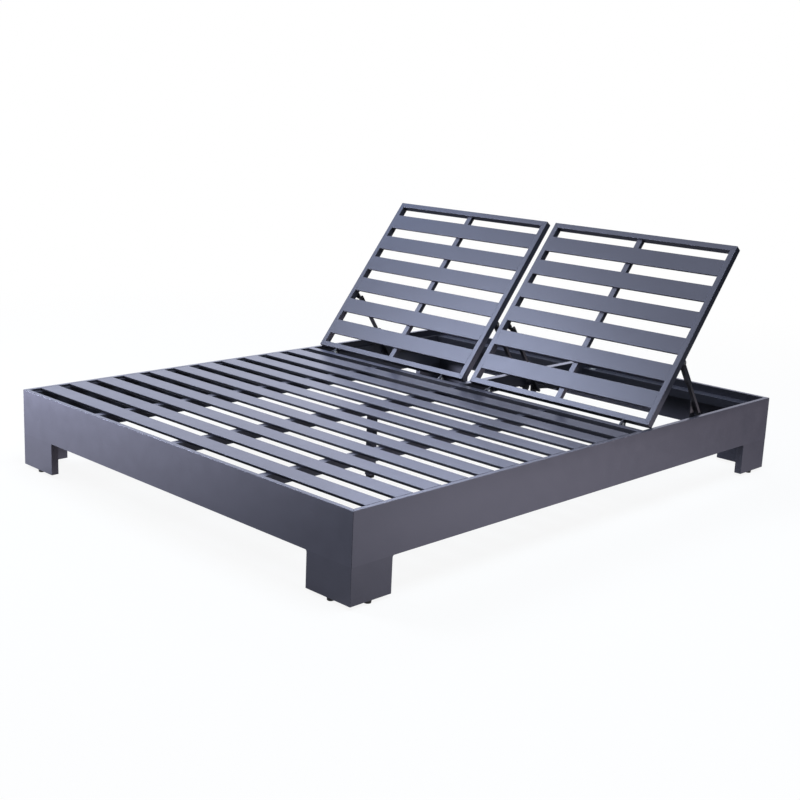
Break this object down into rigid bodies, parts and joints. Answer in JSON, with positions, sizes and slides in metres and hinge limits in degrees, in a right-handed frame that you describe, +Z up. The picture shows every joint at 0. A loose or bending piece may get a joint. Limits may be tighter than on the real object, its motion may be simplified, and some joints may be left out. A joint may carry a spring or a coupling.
{
  "type": "double chaise lounger",
  "caption": "Low slatted double chaise lounger whose side-by-side backrests recline on props that run along notched racks, for a patio or pool deck.",
  "frame": {"origin": "on the floor, under the middle of the platform", "axes": "+X to the right seen from the foot end, +Y from the foot to the head, +Z up"},
  "size_m": [1.56, 2, 0.8042],
  "materials": {
    "coated_aluminium": "satin",
    "coated_steel": "satin",
    "fastener_steel": "satin",
    "glide_plastic": "matte",
    "bumper_rubber": "matte"
  },
  "bodies": {
    "base": {"centre_posts": "coated_aluminium", "deck_bars": "coated_aluminium", "deck_slat_01": "coated_aluminium", "deck_slat_02": "coated_aluminium", "deck_slat_03": "coated_aluminium", "deck_slat_04": "coated_aluminium", "deck_slat_05": "coated_aluminium", "deck_slat_06": "coated_aluminium", "deck_slat_07": "coated_aluminium", "deck_slat_08": "coated_aluminium", "deck_slat_09": "coated_aluminium", "deck_slat_10": "coated_aluminium", "deck_slat_11": "coated_aluminium", "divider_beam": "coated_aluminium", "foot_left_leg": "coated_aluminium", "foot_rail": "coated_aluminium", "foot_right_leg": "coated_aluminium", "glides": "glide_plastic", "head_ledges": "coated_aluminium", "head_left_leg": "coated_aluminium", "head_rail": "coated_aluminium", "head_right_leg": "coated_aluminium", "hinge_bolts": "fastener_steel", "hinge_brackets": "coated_steel", "hinge_rail": "coated_aluminium", "ledge_bumpers": "bumper_rubber", "left_inner_rack": "coated_steel", "left_outer_rack": "coated_steel", "left_rail": "coated_aluminium", "rack_hangers": "coated_steel", "right_inner_rack": "coated_steel", "right_outer_rack": "coated_steel", "right_rail": "coated_aluminium"},
    "left_backrest": {"left_back_slats": "coated_aluminium", "left_bottom_tube": "coated_aluminium", "left_centre_bar": "coated_aluminium", "left_hinge_lugs": "coated_steel", "left_inner_tube": "coated_aluminium", "left_outer_tube": "coated_aluminium", "left_stay_brackets": "coated_steel", "left_stay_rivets": "fastener_steel", "left_top_tube": "coated_aluminium"},
    "left_outer_stay": {"left_outer_stay_leg": "coated_steel", "left_outer_stay_sleeve": "coated_steel"},
    "left_inner_stay": {"left_inner_stay_leg": "coated_steel", "left_inner_stay_sleeve": "coated_steel"},
    "right_backrest": {"right_back_slats": "coated_aluminium", "right_bottom_tube": "coated_aluminium", "right_centre_bar": "coated_aluminium", "right_hinge_lugs": "coated_steel", "right_inner_tube": "coated_aluminium", "right_outer_tube": "coated_aluminium", "right_stay_brackets": "coated_steel", "right_stay_rivets": "fastener_steel", "right_top_tube": "coated_aluminium"},
    "right_outer_stay": {"right_outer_stay_leg": "coated_steel", "right_outer_stay_sleeve": "coated_steel"},
    "right_inner_stay": {"right_inner_stay_leg": "coated_steel", "right_inner_stay_sleeve": "coated_steel"}
  },
  "joints": [
    {"name": "left_backrest_hinge", "type": "hinge", "parent": "base", "child": "left_backrest", "pos_m": [-0.3905, 0.2763, 0.253], "axis": [1, 0, 0], "range_deg": [-51.25, 0]},
    {"name": "left_outer_stay_hinge", "type": "hinge", "parent": "left_backrest", "child": "left_outer_stay", "pos_m": [-0.742, 0.47508, 0.44236], "axis": [1, 0, 0], "range_deg": [0, 102.5]},
    {"name": "left_inner_stay_hinge", "type": "hinge", "parent": "left_backrest", "child": "left_inner_stay", "pos_m": [-0.039, 0.47508, 0.44236], "axis": [1, 0, 0], "range_deg": [0, 102.5]},
    {"name": "right_backrest_hinge", "type": "hinge", "parent": "base", "child": "right_backrest", "pos_m": [0.3905, 0.2763, 0.253], "axis": [1, 0, 0], "range_deg": [-51.25, 0]},
    {"name": "right_outer_stay_hinge", "type": "hinge", "parent": "right_backrest", "child": "right_outer_stay", "pos_m": [0.742, 0.47508, 0.44236], "axis": [1, 0, 0], "range_deg": [0, 102.5]},
    {"name": "right_inner_stay_hinge", "type": "hinge", "parent": "right_backrest", "child": "right_inner_stay", "pos_m": [0.039, 0.47508, 0.44236], "axis": [1, 0, 0], "range_deg": [0, 102.5]}
  ],
  "couplings": [
    {"joint": "left_outer_stay_hinge", "follows": "left_backrest_hinge", "ratio": -2},
    {"joint": "left_inner_stay_hinge", "follows": "left_backrest_hinge", "ratio": -2},
    {"joint": "right_outer_stay_hinge", "follows": "right_backrest_hinge", "ratio": -2},
    {"joint": "right_inner_stay_hinge", "follows": "right_backrest_hinge", "ratio": -2}
  ]
}
